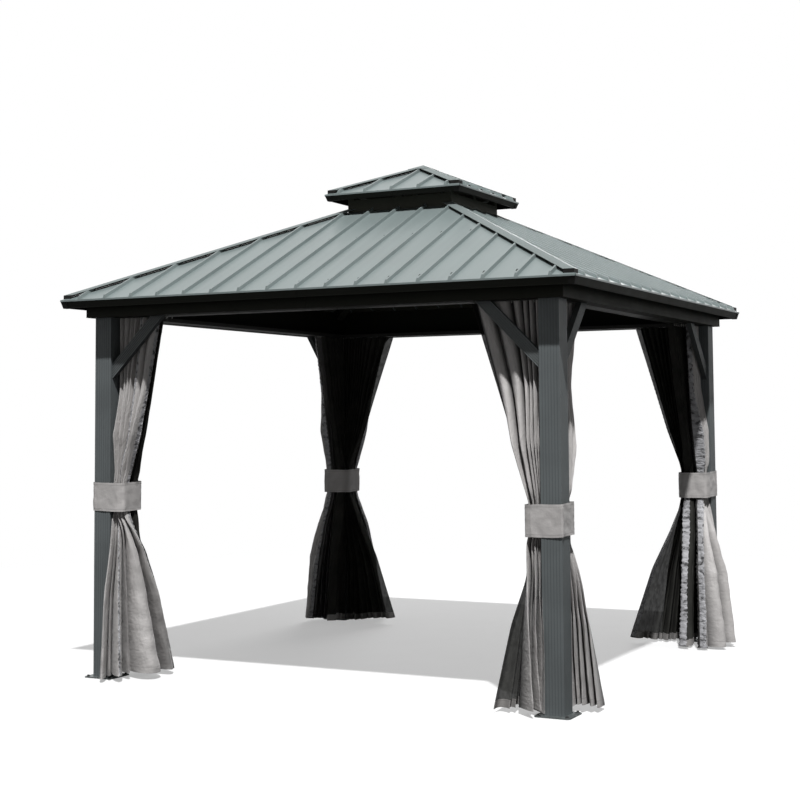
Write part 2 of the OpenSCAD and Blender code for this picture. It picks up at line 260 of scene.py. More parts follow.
def roof_metal(name, color, rough):
    """Coated roof sheet with rain streaks that run down the slope, and painted shade on the faces that
    look at the ground.
    """
    n = Nodes(name)
    place = n.object_coords()
    normal = n.normal_axes()
    faces_x = n.math("GREATER_THAN", n.math("ABSOLUTE", normal["X"]), n.math("ABSOLUTE", normal["Y"]))
    along_x = n.noise(n.scaled(place, (30, 0.8, 0.8)), 1.0, 4, 0.6)
    along_y = n.noise(n.scaled(place, (0.8, 30, 0.8)), 1.0, 4, 0.6)
    streak = n.mix(faces_x, along_x, along_y)
    patch = n.noise(place, 2.2, 5, 0.55)
    tone = n.math("ADD", n.math("MULTIPLY", streak, 0.45), n.math("MULTIPLY", patch, 0.55))
    coat = n.ramp(tone, [(0.3, shade(color, 0.88)), (0.5, color), (0.72, shade(color, 1.1))])
    # Painted shade: faces that look at the ground get a near-black colour in place of the coat
    underside_shade = n.ramp(patch, [(0.3, (0.045, 0.048, 0.036)), (0.7, (0.07, 0.074, 0.058))])
    n.set(
        Base_Color=n.mix(facing_down(n), coat, underside_shade),
        Roughness=n.span(patch, rough - 0.06, rough + 0.06),
        Normal=n.bump(n.noise(place, 14.0, 3), 0.002, 0.12),
    )
    return n.material


def galvanised(name, color):
    """Zinc plate with spangle."""
    n = Nodes(name)
    place = n.object_coords()
    spangle = n.add("ShaderNodeTexVoronoi", {"Vector": place, "Scale": 90.0}).outputs["Color"]
    cell = n.add("ShaderNodeSeparateColor", {"Color": spangle}).outputs["Red"]
    dirt_and_groove_shade = n.noise(place, 22.0, 5)
    n.set(
        Base_Color=n.mix(
            n.span(dirt_and_groove_shade, 0.0, 0.5),
            n.ramp(cell, [(0.0, shade(color, 0.8)), (1.0, shade(color, 1.15))]),
            (*shade(color, 0.55), 1),
        ),
        Metallic=0.7,
        Roughness=n.span(cell, 0.38, 0.55),
    )
    return n.material


# Threads and stitches of the cloth
WEAVE_SCALE = 110.0
STITCHES_PER_M = 220.0
STITCH_HALF = 0.0018


def woven_cloth(name, color, seams=(), folded=False):
    """Plain-weave polyester with slubs, creases and rows of stitches at given places down its length.

    Folded cloth gets painted shade inside its folds, from the mesh attribute crest.
    """
    n = Nodes(name)
    flat = n.add("ShaderNodeTexCoord").outputs["UV"]
    thread = {"Vector": flat, "Scale": WEAVE_SCALE, "Distortion": 0.6}
    across = n.add("ShaderNodeTexWave", thread, bands_direction="X").outputs["Fac"]
    down = n.add("ShaderNodeTexWave", thread, bands_direction="Y").outputs["Fac"]
    weave = n.math("MULTIPLY", across, down)
    slub = n.noise(n.scaled(flat, (90, 700, 1)), 1.0, 3)
    drift = n.noise(flat, 6.0, 5, 0.6)
    tone = n.math("ADD", n.math("MULTIPLY", drift, 0.65), n.math("MULTIPLY", slub, 0.35))
    color_out = n.ramp(tone, [(0.3, shade(color, 0.84)), (0.7, shade(color, 1.12))])
    # Painted shade: the mesh attribute crest darkens the cloth between the folds
    if folded:
        crest = n.add("ShaderNodeAttribute", attribute_name="crest").outputs["Fac"]
        fold_shade = n.ramp(crest, [(0.15, (0.1, 0.1, 0.1)), (0.8, (1, 1, 1))])
        color_out = n.add(
            "ShaderNodeVectorMath", {0: color_out, 1: fold_shade}, operation="MULTIPLY"
        ).outputs["Vector"]
    crease = n.math(
        "ADD",
        n.noise(n.scaled(flat, (24, 8, 1)), 1.0, 5, 0.62),
        n.math("MULTIPLY", n.noise(flat, 60.0, 3), 0.35),
    )
    relief = n.bump(weave, 0.0003, 0.4, n.bump(crease, 0.014 if folded else 0.005, 0.5))
    place = n.axes(flat)
    gap = n.math("GREATER_THAN", n.math("FRACT", n.math("MULTIPLY", place["X"], STITCHES_PER_M)), 0.35)
    for seam in seams:
        row = n.math("ABSOLUTE", n.math("SUBTRACT", place["Y"], seam))
        stitch = n.math("MULTIPLY", n.math("LESS_THAN", row, STITCH_HALF), gap)
        color_out = n.mix(n.math("MULTIPLY", stitch, 0.6), color_out, (*shade(color, 0.4), 1))
        relief = n.bump(stitch, 0.001, -0.8, relief)
    n.set(
        Base_Color=color_out,
        Roughness=n.span(slub, 0.4, 0.56),
        Normal=relief,
        Sheen_Weight=0.15,
        Sheen_Roughness=0.45,
    )
    return n.material


def puckered_tape(name, color):
    """Pale tape drawn up by its zip, with painted shade in the wrinkles across it."""
    n = Nodes(name)
    flat = n.add("ShaderNodeTexCoord").outputs["UV"]
    wrinkle = n.noise(n.scaled(flat, (22, 34, 1)), 1.0, 3, 0.6)
    # Painted shade: the low places of the wrinkles are much darker
    stops = [(0.36, shade(color, 0.12)), (0.46, shade(color, 0.7)), (0.6, color)]
    n.set(
        Base_Color=n.ramp(wrinkle, stops),
        Roughness=n.span(wrinkle, 0.5, 0.8),
        Normal=n.bump(wrinkle, 0.02, 0.7),
    )
    return n.material


def mesh_netting(name, color, cover):
    """Fine mosquito mesh, seen as a veil that lets some light through."""
    n = Nodes(name)
    place = n.object_coords()
    drift = n.noise(place, 7.0, 4)
    n.set(
        Base_Color=n.ramp(drift, [(0.3, shade(color, 0.7)), (0.7, shade(color, 1.4))]),
        Roughness=0.85,
        Specular_IOR_Level=0.1,
        Alpha=n.span(n.noise(place, 40.0, 3), cover - 0.04, cover + 0.04),
    )
    return n.material


def moulded_plastic(name, color, rough, gloss=0.5):
    """Plain plastic with a fine moulded grain."""
    n = Nodes(name)
    place = n.object_coords()
    stops = [(0.3, shade(color, 0.85)), (0.7, shade(color, 1.2))]
    n.set(
        Base_Color=n.ramp(n.noise(place, 30.0, 4), stops),
        Roughness=n.span(n.noise(place, 60.0, 3), rough - 0.08, rough + 0.08),
        Specular_IOR_Level=gloss,
        Normal=n.bump(n.noise(place, 1400.0, 2), 0.0003, 0.3),
    )
    return n.material


# Stitches above the lower edge of the curtains and inside the edges of the tie bands
HEM_SEAM = 0.032
BAND_SEAM = 0.012


def make_materials():
    cloth_seams = (CLOTH_L - HEM_SEAM,)
    band_seams = (BAND_SEAM, 2 * TIE_HALF - BAND_SEAM)
    # Painted shade in the flutes of the posts and along the grooves of the braces
    post_groove_shade = {"grooves": post_flutes, "groove_shade": 0.25}
    brace_groove_shade = {"grooves": brace_grooves, "groove_shade": 0.8}
    return {
        "posts": coated_metal("post_coat", (0.13, 0.145, 0.149), rough=0.48, **post_groove_shade),
        "braces": coated_metal("brace_coat", (0.14, 0.155, 0.157), rough=0.48, **brace_groove_shade),
        # Painted shade: beams, trim and rafters get a coat far darker than the posts', for the shade under
        # the roof
        "beams": coated_metal("beam_coat", (0.012, 0.013, 0.009), rough=0.6, gloss=0.12),
        "rafters": coated_metal("rafter_coat", (0.05, 0.052, 0.04), rough=0.6, gloss=0.15),
        "trim": coated_metal("trim_coat", (0.011, 0.012, 0.009), rough=0.55, gloss=0.15),
        "roof_sheet": roof_metal("roof_coat", (0.19, 0.228, 0.226), rough=0.34),
        "roof_caps": roof_metal("cap_coat", (0.152, 0.18, 0.178), rough=0.55),
        "corner_caps": moulded_plastic("corner_plastic", (0.012, 0.012, 0.011), rough=0.6, gloss=0.15),
        "plates": galvanised("plate_zinc", (0.2, 0.22, 0.22)),
        "tracks": coated_metal("track_coat", (0.03, 0.031, 0.028), rough=0.4),
        "curtain_cloth": woven_cloth("curtain_weave", (0.55, 0.531, 0.521), cloth_seams, folded=True),
        "tie_cloth": woven_cloth("tie_weave", (0.54, 0.52, 0.51), band_seams),
        "netting": mesh_netting("net_mesh", (0.034, 0.034, 0.031), cover=0.96),
        "hem_cloth": woven_cloth("hem_weave", (0.3, 0.288, 0.28), cloth_seams),
        "zip_tape": puckered_tape("zip_tape", (0.5, 0.5, 0.52)),
        "screws": coated_metal("screw_coat", (0.02, 0.021, 0.02), rough=0.6, gloss=0.15),
        # Painted shade: near-black foam strips along the hips give the dark gaps under the hip caps
        "closures": moulded_plastic("closure_foam", (0.008, 0.008, 0.008), rough=0.85, gloss=0.1),
        "bolts": coated_metal("bolt_coat", (0.05, 0.052, 0.052), rough=0.4),
        "gliders": moulded_plastic("glider_plastic", (0.5, 0.5, 0.48), rough=0.4),
    }


def paint_frame(materials):
    for part in frame["record"]["subparts"]:
        node = frame["nodes"][part["node"]]
        node.data.materials.clear()
        slot = "braces" if part["node"].startswith("braces") else part["material_slot"]
        node.data.materials.append(materials[slot])


# Light that the backdrop gives to surfaces, and what the camera and gloss see of it
AMBIENT = 0.06
BACKDROP = 1.0
# Shade of the floor in the light that it throws back, its half width, and where it fades out
FLOOR_BOUNCE = 0.08
FLOOR_REACH = 60
FADE_START = 2.5
FADE_END = 7.0


def make_world():
    """Plain soft light; rays that see the backdrop directly or in gloss meet white."""
    world = bpy.data.worlds.new("studio")
    bpy.context.scene.world = world
    world.use_nodes = True
    tree = world.node_tree
    background = tree.nodes["Background"]
    path = tree.nodes.new("ShaderNodeLightPath")
    seen = tree.nodes.new("ShaderNodeMath")
    seen.operation = "MAXIMUM"
    tree.links.new(path.outputs["Is Camera Ray"], seen.inputs[0])
    tree.links.new(path.outputs["Is Glossy Ray"], seen.inputs[1])
    clear = tree.nodes.new("ShaderNodeMath")
    clear.operation = "MAXIMUM"
    tree.links.new(seen.outputs[0], clear.inputs[0])
    tree.links.new(path.outputs["Is Transmission Ray"], clear.inputs[1])
    strength = tree.nodes.new("ShaderNodeMapRange")
    strength.inputs["To Min"].default_value = AMBIENT
    strength.inputs["To Max"].default_value = BACKDROP
    tree.links.new(clear.outputs[0], strength.inputs["Value"])
    tree.links.new(strength.outputs["Result"], background.inputs["Strength"])
    background.inputs["Color"].default_value = (1, 1, 1, 1)


def make_lamp(name, place, target, size, power):
    data = bpy.data.lights.new(name, "AREA")
    data.shape = "DISK"
    data.size = size
    data.energy = power
    lamp = bpy.data.objects.new(name, data)
    bpy.context.collection.objects.link(lamp)
    lamp.location = place
    lamp.rotation_euler = (Vector(target) - Vector(place)).to_track_quat("-Z", "Y").to_euler()


def make_floor():
    """Pale floor that fades into the backdrop with distance and keeps the shadow."""
    mesh = bpy.data.meshes.new("floor")
    corners = [(-1, -1, 0), (1, -1, 0), (1, 1, 0), (-1, 1, 0)]
    mesh.from_pydata([Vector(corner) * FLOOR_REACH for corner in corners], [], [(0, 1, 2, 3)])
    floor = bpy.data.objects.new("floor", mesh)
    bpy.context.collection.objects.link(floor)
    n = Nodes("pale_floor")
    grain = n.noise(n.object_coords(), 3.0, 4)
    pale = n.ramp(grain, [(0.3, (0.88, 0.88, 0.88)), (0.7, (0.91, 0.91, 0.91))])
    direct = n.add("ShaderNodeLightPath").outputs["Is Camera Ray"]
    bounce = (FLOOR_BOUNCE, FLOOR_BOUNCE, FLOOR_BOUNCE, 1)
    n.set(Base_Color=n.mix(direct, bounce, pale), Roughness=0.9)
    distance = n.add("ShaderNodeVectorMath", {0: n.object_coords()}, operation="LENGTH").outputs["Value"]
    fade = n.add(
        "ShaderNodeMapRange",
        {"Value": distance, "From Min": FADE_START, "From Max": FADE_END},
        interpolation_type="SMOOTHSTEP",
    ).outputs["Result"]
    seen = n.math("MULTIPLY", n.span(fade, 0.4, 1.0), direct)
    glow = n.add("ShaderNodeEmission", {"Color": (1, 1, 1, 1), "Strength": 1.0})
    blend = n.add("ShaderNodeMixShader", {"Fac": seen})
    n.tree.links.new(n.shader.outputs[0], blend.inputs[1])
    n.tree.links.new(glow.outputs[0], blend.inputs[2])
    n.tree.links.new(blend.outputs[0], n.output.inputs["Surface"])
    mesh.materials.append(n.material)


# Flat size of one curtain or netting panel: half the opening between two posts, and its drop
CLOTH_W = POST_IN
CLOTH_L = TRACK_Z - 0.02
CLOTH_TOP = TRACK_Z - 0.003
CLOTH_FOOT = 0.024
HEM_TURN = 0.05
COLUMNS = 144
ROWS = 150
# Level under the knee braces, which the cloth has to pass on their inner side
BRACE_LOW = BEAM_Z - 0.4
# Control rows above, inside and below a tie band, measured from its edges
NECK_RISE = 0.055
BAND_EASE = 0.005
NECK_DROP = 0.04
SKIRT_DROP = 0.22
# How much wider the cloth is next to the band than inside it
NECK_SPREAD = 1.15
# Half depth of the folds in each control row
FOLD_DEPTH = [0.022, 0.025, 0.042, 0.036, 0.028, 0.028, 0.036, 0.046, 0.052, 0.056]
# Control rows inside the tie band, and the first one of the loose skirt
IN_BAND = slice(4, 6)
SKIRT = 7
# Wander of the folds along the cloth, crowding of the columns between two folds, sag of the hem
SWAY = 0.015
CROWD = 0.25
SAG = 0.012
# Broad waves, fine creases and crumples: height, scales across and down the cloth, step of the seed
WRINKLES = ((0.1, 11, 5, 0), (0.06, 46, 15, 0.5), (0.08, 20, 30, 0.3))
# Puckers of a zip tape: height and length of one
PUCKER_H = 0.004
PUCKER_L = 0.03


@dataclass
class Hang:
    """How one gathered cloth hangs.

    a runs inward from the post and d outward from the centre line. top and waist are (first a,
    last a, d), along the track and inside the tie band; foot is three points (a, d) along the hem.
    outward is 1 where the folds swell outside and -1 where they swell inside. zips gives each
    tape's place across the cloth above and below the band, and its half width in columns. growth is
    how much wider the folds at the leading edge are, full is their depth away from the band, dark is
    the painted shade between them, keep is what every second fold keeps of its size and of its
    painted light below the band, and flare is how far the cloth has opened at two heights there.
    """

    top: tuple
    waist: tuple
    foot: list
    outward: int
    zips: tuple
    growth: float
    folds: int
    full: float
    dark: float
    keep: float
    flare: tuple


def local_to_frame(k, side, x, y, z):
    """Points drawn at the front right corner, mirrored for its second side and turned to corner k."""
    if side:
        x, y = -y, -x
    for _ in range(k):
        x, y = -y, x
    return np.stack([x, y, z + 0 * x], axis=-1)


def row_weights(heights, z):
    """Share of each control row at each height, eased where two spans meet."""
    shares = np.stack([np.interp(-z, [-h for h in heights], row) for row in np.eye(len(heights))])
    kernel = np.hanning(7)
    kernel /= kernel.sum()
    padded = np.pad(shares, ((0, 0), (3, 3)), mode="edge")
    return np.stack([np.convolve(row, kernel, mode="valid") for row in padded])


def add_piece(name, points, faces, materials, flat=None, smooth=True, tags=None, crest=None):
    mesh = bpy.data.meshes.new(name)
    mesh.from_pydata([tuple(p) for p in points], [], faces)
    for material in materials:
        mesh.materials.append(material)
    if tags is not None:
        mesh.polygons.foreach_set("material_index", tags)
    mesh.polygons.foreach_set("use_smooth", [smooth] * len(faces))
    if flat is not None:
        layer = mesh.uv_layers.new(name="flat")
        corners = np.empty(len(mesh.loops), dtype=np.int32)
        mesh.loops.foreach_get("vertex_index", corners)
        layer.data.foreach_set("uv", np.asarray(flat)[corners].astype(np.float32).ravel())
    if crest is not None:
        mesh.attributes.new("crest", "FLOAT", "POINT").data.foreach_set("value", crest)
    mesh.update()
    piece = bpy.data.objects.new(name, mesh)
    bpy.context.collection.objects.link(piece)
    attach(piece, "root")
    return piece


def grid_faces(rows, columns):
    return [
        (r * columns + c, r * columns + c + 1, (r + 1) * columns + c + 1, (r + 1) * columns + c)
        for r in range(rows - 1)
        for c in range(columns - 1)
    ]


def control_heights(k):
    """Heights of the rows that shape a cloth, from the track through the tie band to the hem."""
    tie_high, tie_low = TIE_Z[k] + TIE_HALF, TIE_Z[k] - TIE_HALF
    return [
        CLOTH_TOP,
        BRACE_LOW,
        (BRACE_LOW + tie_high) / 2,
        tie_high + NECK_RISE,
        tie_high - BAND_EASE,
        tie_low + BAND_EASE,
        tie_low - NECK_DROP,
        tie_low - SKIRT_DROP,
        tie_low / 2,
        CLOTH_FOOT,
    ]


def control_curves(hang, k, s):
    """Plan line of the cloth in each control row, as points (a, d)."""

    def line(first, last, depth):
        return np.stack([first + (last - first) * s, depth + 0 * s], axis=-1)

    hooks, bundle = line(*hang.top), line(*hang.waist)
    neck = line(hang.waist[0], hang.waist[1] * NECK_SPREAD, hang.waist[2])
    u = s[:, None]
    hem = sum(
        np.array(point)[None, :] * part
        for point, part in zip(hang.foot, ((1 - u) ** 2, 2 * u * (1 - u), u ** 2))
    )
    tie_high = TIE_Z[k] + TIE_HALF
    brace, middle = [(CLOTH_TOP - h) / (CLOTH_TOP - tie_high) for h in control_heights(k)[1:3]]
    return np.stack([
        hooks,
        hooks + (neck - hooks) * [brace, 0.3 * brace],
        hooks + (neck - hooks) * middle,
        neck,
        bundle,
        bundle,
        neck,
        neck + (hem - neck) * hang.flare[0],
        neck + (hem - neck) * hang.flare[1],
        hem,
    ])


def fold_borders(hang, share, rng):
    """Borders of the folds, which wander from row to row; every second fold is narrower in the skirt."""
    widths = hang.growth ** np.linspace(-1, 1, hang.folds) * rng.uniform(0.75, 1.25, hang.folds)
    widths = widths * rng.uniform(0.8, 1.2, (len(share), hang.folds))
    widths[SKIRT:, 1::2] *= hang.keep
    borders = np.cumsum(widths / widths.sum(axis=1, keepdims=True), axis=1)
    return share.T @ np.pad(borders, ((0, 0), (1, 0)))


def fold_swell(hang, share, rng):
    """How far each fold swells in each row; every second one sinks between its neighbours in the skirt."""
    swell = rng.uniform(0.72, 1.08, (len(share), hang.folds))
    swell[SKIRT:, 1::2] *= 0.2 + 0.8 * hang.keep
    return share.T @ swell


def fold_depth(hang, share):
    depth = np.array(FOLD_DEPTH)
    depth[2] *= min(hang.full, 1.15)
    depth[SKIRT + 1:] *= hang.full
    return share.T @ depth


def wrinkle(across, down, seed):
    """Height of the wrinkles at one point of a cloth, as a share of the folds' depth."""
    return sum(
        height * noise.noise(Vector((across * wide, down * long, seed + step)))
        for height, wide, long, step in WRINKLES
    )


def zip_masks(hang, k, z):
    """Which points of the cloth lie on each zip tape."""
    columns = np.arange(COLUMNS + 1)
    for above, below, half in hang.zips:
        spot = np.where(z > TIE_Z[k], above, below) * COLUMNS
        yield np.abs(columns[None, :] - spot[:, None]) <= half


def wing(name, k, side, seed, hang, materials):
    """One gathered cloth: folds that hang from the track, close up in the tie band and open to the hem."""
    rng = np.random.default_rng(seed)
    s = np.linspace(0, 1, COLUMNS + 1)
    z = np.linspace(CLOTH_TOP, CLOTH_FOOT, ROWS)
    t = (z[0] - z) / (z[0] - z[-1])
    share = row_weights(control_heights(k), z)
    free = 1 - share[IN_BAND].sum(axis=0)
    curves = control_curves(hang, k, s)
    borders = fold_borders(hang, share, rng)
    swell = fold_swell(hang, share, rng)
    depth = fold_depth(hang, share)
    sway = sum(
        np.sin(2 * math.pi * (rng.uniform(0.5, 2.0) * t + rng.uniform()))[:, None]
        * np.sin(math.pi * (j + 1) * s)[None, :]
        for j in range(3)
    )
    fold = np.minimum((s * hang.folds).astype(int), hang.folds - 1)
    phase = 2 * math.pi * (s * hang.folds - fold)
    blunt = rng.uniform(0.6, 1.2, hang.folds)[fold]
    crest = np.abs(np.sin(phase / 2)) ** blunt
    base = np.empty((ROWS, COLUMNS + 1, 2))
    for row in range(ROWS):
        width = np.diff(borders[row])[fold]
        place = borders[row][fold] + width * (phase - CROWD * np.sin(phase)) / (2 * math.pi)
        place = np.clip(place + SWAY * free[row] * sway[row], 0, 1)
        curve = np.tensordot(share[:, row], curves, axes=1)
        along = np.gradient(curve, axis=0)
        normal = np.stack([-along[:, 1], along[:, 0]], axis=-1)
        normal /= np.linalg.norm(normal, axis=-1, keepdims=True)
        height = depth[row] * (2 * swell[row][fold] * crest - 1)
        wrinkles = np.array([wrinkle(across, t[row], seed) for across in s + 0.05 * t[row]])
        height += free[row] * depth[row] * wrinkles
        height[[0, -1]] *= 0.5
        for j in (0, 1):
            base[row, :, j] = np.interp(place, s, curve[:, j])
            base[row, :, j] += hang.outward * np.interp(place, s, normal[:, j]) * height

    tape = np.zeros((ROWS, COLUMNS + 1), dtype=bool)
    pucker = PUCKER_H * np.sin(2 * math.pi * z / PUCKER_L + 3 * np.sin(9 * t + seed)) * free
    for mask in zip_masks(hang, k, z):
        tape |= mask
        base[..., 1] += mask * pucker[:, None]

    sag = SAG * np.sin(4.0 * s + seed)[None, :] * t[:, None] ** 2
    points = local_to_frame(k, side, POST_IN - base[..., 0], -base[..., 1], z[:, None] + sag)
    faces = grid_faces(ROWS, COLUMNS + 1)
    flat = np.stack(np.meshgrid(s * CLOTH_W, t * CLOTH_L), axis=-1).reshape(-1, 2)
    row_of = np.repeat(np.arange(ROWS - 1), COLUMNS)
    column_of = np.tile(np.arange(COLUMNS), ROWS - 1)
    tags = np.zeros(len(faces), dtype=np.int32)
    tags[z[row_of] < z[-1] + HEM_TURN] = 1
    tags[tape[row_of, column_of] & tape[row_of, column_of + 1]] = 2
    # Painted shade for the mesh attribute crest: darker between the folds, and on every second fold where
    # it sinks in the skirt
    sunk = np.outer(share[SKIRT:].sum(axis=0), fold % 2)
    lit = (1 - (1 - hang.keep) * sunk) * (1 - hang.dark * (1 - np.abs(np.sin(phase / 2))))
    piece = add_piece(
        name, points.reshape(-1, 3), faces, materials, flat=flat, tags=tags, crest=lit.ravel()
    )
    return piece


# Distance of the upper edges of the curtains and of the nettings from the centre line
CURTAIN_OUT = 1.284
NETTING_OUT = 1.226
EDGE_ZIP = (0.985, 0.985, 2)
WIDE_ZIP = (0.97, 0.97, 4)
# Place of a tape that isn't seen above the band
OFF_CLOTH = -1
PLAIN_CURTAIN = Hang(
    top=(0.004, 0.34, CURTAIN_OUT),
    waist=(0.004, 0.08, 1.314),
    foot=[(0.01, 1.37), (0.13, 1.46), (0.28, 1.38)],
    outward=1,
    zips=(EDGE_ZIP,),
    growth=2.0,
    folds=8,
    full=1.1,
    dark=1.0,
    keep=0.5,
    flare=(0.36, 0.66),
)
PLAIN_NETTING = Hang(
    top=(0.055, 0.33, NETTING_OUT),
    waist=(0.05, 0.075, 1.24),
    foot=[(0.06, 1.235), (0.18, 1.23), (0.31, 1.19)],
    outward=-1,
    zips=(EDGE_ZIP,),
    growth=1.8,
    folds=11,
    full=0.68,
    dark=1.0,
    keep=0.5,
    flare=(0.22, 0.56),
)
# What differs from the plain way, by corner and side, where the photograph shows it
CURTAINS = {
    (0, 0): {
        "top": (0.004, 0.36, CURTAIN_OUT),
        "foot": [(0.022, 1.335), (0.055, 1.37), (0.085, 1.4)],
        "zips": (),
        "growth": 2.4,
        "folds": 7,
        "full": 1.4,
        "dark": 1.2,
        "keep": 0.4,
    },
    (0, 1): {
        "foot": [(0.1, 1.3), (0.1, 1.395), (0.11, 1.47)],
        "zips": (),
        "growth": 1.3,
        "folds": 6,
        "full": 1.6,
        "dark": 1.2,
        "keep": 1.0,
    },
    (1, 0): {
        "top": (0.004, 0.18, CURTAIN_OUT),
        "foot": [(0.01, 1.42), (0.17, 1.52), (0.38, 1.4)],
        "zips": (WIDE_ZIP,),
    },
    (3, 1): {
        "top": (0.004, 0.27, CURTAIN_OUT),
        "foot": [(0.0, 1.45), (0.14, 1.38), (0.26, 1.08)],
        "zips": ((0.75, 0.417, 2), EDGE_ZIP),
        "growth": 1.5,
        "folds": 6,
        "full": 1.5,
        "dark": 0.4,
    },
}
NETTINGS = {
    (0, 0): {
        "top": (0.055, 0.4, NETTING_OUT),
        "foot": [(0.05, 1.22), (0.1, 1.29), (0.25, 1.38)],
        "zips": (),
    },
    (1, 0): {
        "top": (0.055, 0.36, NETTING_OUT),
        "foot": [(0.06, 1.24), (0.2, 1.25), (0.36, 1.28)],
        "zips": ((OFF_CLOTH, *WIDE_ZIP[1:]),),
    },
    (1, 1): {
        "top": (0.055, 0.36, NETTING_OUT),
        "foot": [(0.06, 1.22), (0.2, 1.16), (0.37, 1.06)],
    },
    (2, 0): {
        "top": (0.055, 0.42, NETTING_OUT),
        "foot": [(0.06, 1.22), (0.22, 1.22), (0.41, 1.24)],
        "zips": (),
    },
    (2, 1): {"zips": ()},
    (3, 1): {
        "top": (0.055, 0.26, NETTING_OUT),
        "foot": [(0.05, 1.2), (0.07, 1.15), (0.1, 1.08)],
        "zips": (),
    },
}
# First seeds of the curtains and of the nettings
CURTAIN_SEED = 11
NETTING_SEED = 31


def make_cloth(materials):
    """A curtain and a netting on each side of each post."""
    curtain_coats = [materials["curtain_cloth"], materials["curtain_cloth"], materials["zip_tape"]]
    net_coats = [materials["netting"], materials["hem_cloth"], materials["zip_tape"]]
    for k, corner in enumerate(CORNERS):
        for side, label in enumerate(("near", "far")):
            count = 2 * k + side
            hang = replace(PLAIN_CURTAIN, **CURTAINS.get((k, side), {}))
            curtain = wing(f"curtain_{corner}_{label}", k, side, CURTAIN_SEED + count, hang, curtain_coats)
            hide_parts(f"curtain_{corner}")
            hang = replace(PLAIN_NETTING, **NETTINGS.get((k, side), {}))
            net = wing(f"netting_{corner}_{label}", k, side, NETTING_SEED + count, hang, net_coats)
            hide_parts(f"netting_{corner}")


# Steps along a rounded corner
BEND_STEPS = (0, 0.15, 0.3, 0.45, 0.6, 0.75, 0.9, 1)


def rounded_loop(corners, step=0.01):
    """Closed plan line through corners (x, y, radius), cut into short pieces."""
    line = []
    count = len(corners)
    for i, (x, y, radius) in enumerate(corners):
        here = Vector((x, y))
        back = (Vector(corners[i - 1][:2]) - here).normalized()
        ahead = (Vector(corners[(i + 1) % count][:2]) - here).normalized()
        angle = back.angle(ahead)
        cut = radius / math.tan(angle / 2)
        start, end = here + back * cut, here + ahead * cut
        if line:
            last = line[-1]
            pieces = max(1, int((start - last).length / step))
            line += [last.lerp(start, j / pieces) for j in range(1, pieces)]
        line += [start.lerp(here, u).lerp(here.lerp(end, u), u) for u in BEND_STEPS]
    pieces = max(1, int((line[0] - line[-1]).length / step))
    line += [line[-1].lerp(line[0], j / pieces) for j in range(1, pieces)]
    return line


# Tie bands: room round the post, reach round the gathered cloth, and where the sides bend in
BAND_ROOM = 0.0025
BAND_REACH = 0.087
BAND_BEND = 0.05
# Tilt of a band round the post, and its least and usual slack
BAND_TILT = 0.004
LEAST_SLACK = 0.0004
BAND_SLACK = 0.002
# Steps and lift of the end that lies over the start, steps of the rise to it, and rows of the strip
BAND_LAP = 8
BAND_LIFT = 0.003
LIFT_STEPS = 4
BAND_ROWS = 18


def band_line():
    """Plan line of a tie band round the front right post and its cloth."""
    out = POST_OUT + BAND_ROOM
    inner = POST_IN - BAND_REACH
    bend = POST_IN - BAND_BEND
    return rounded_loop([
        (out, -out, 0.005),
        (out - 0.001, -bend, 0.03),
        (out - 0.012, -inner, 0.02),
        (inner, -inner, 0.05),
        (inner, -(out - 0.012), 0.02),
        (bend, -(out - 0.001), 0.03),
    ])


def make_tie_bands(materials):
    """Flat strips wrapped round a post and its bundles, with the end laid over the start."""
    loop = band_line()
    count = len(loop)
    for k, corner in enumerate(CORNERS):
        points, flat = [], []
        run = 0.0
        for i in range(count + BAND_LAP):
            spot = loop[i % count]
            ahead = loop[(i + 1) % count] - loop[i % count - 1]
            normal = Vector((ahead.y, -ahead.x)).normalized()
            if normal.dot(spot - Vector((POST_IN, -POST_IN))) < 0:
                normal = -normal
            if i:
                run += (spot - loop[i % count - 1]).length
            layer = BAND_LIFT * min(1.0, max(0.0, (i - count + LIFT_STEPS) / LIFT_STEPS))
            tilt = BAND_TILT * math.sin(2 * math.pi * i / count + k)
            for r in range(BAND_ROWS):
                v = r / (BAND_ROWS - 1)
                place = Vector((spot.x * 30, spot.y * 30, v * 3.5 + 9 * k))
                crease = Vector((spot.x * 60 + 20 * v, spot.y * 60, v * 9 + 5 * k))
                slack = BAND_SLACK + 0.0026 * noise.noise(place) + 0.0012 * noise.noise(crease)
                edge = tilt + 0.002 * noise.noise(place * 0.5)
                moved = spot + normal * (max(slack, LEAST_SLACK) + layer)
                points.append((moved.x, moved.y, TIE_Z[k] + TIE_HALF * (1 - 2 * v) + edge))
                flat.append((run, v * 2 * TIE_HALF))
        points = np.array(points)
        points = local_to_frame(k, 0, points[:, 0], points[:, 1], points[:, 2])
        faces = grid_faces(count + BAND_LAP, BAND_ROWS)
        band = add_piece(f"tie_band_{corner}", points, faces, [materials["tie_cloth"]], flat=flat)
        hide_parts("tie_bands")


def lathe(profile, sides):
    """Points and faces of a turned form from (radius, height) steps, closed on top."""
    points, faces = [], []
    for radius, height in profile:
        for i in range(sides):
            angle = 2 * math.pi * i / sides
            points.append(Vector((radius * math.cos(angle), radius * math.sin(angle), height)))
    for r in range(len(profile) - 1):
        for i in range(sides):
            j = (i + 1) % sides
            faces.append((r * sides + i, r * sides + j, (r + 1) * sides + j, (r + 1) * sides + i))
    faces.append(tuple(range((len(profile) - 1) * sides, len(profile) * sides)))
    return points, faces


def screw_form(scale):
    """Millimetre form of a washer with a six-sided head and a slight crown."""
    points, faces = lathe([(7.2, -0.4), (7.2, 0.7), (6.4, 1.3), (4.6, 1.4)], 18)
    head, head_faces = lathe([(4.4, 1.0), (4.4, 4.2), (3.6, 5.0), (1.4, 5.3)], 6)
    start = len(points)
    points = points + head
    faces = faces + [tuple(i + start for i in face) for face in head_faces]
    return [p * 0.001 * scale for p in points], faces


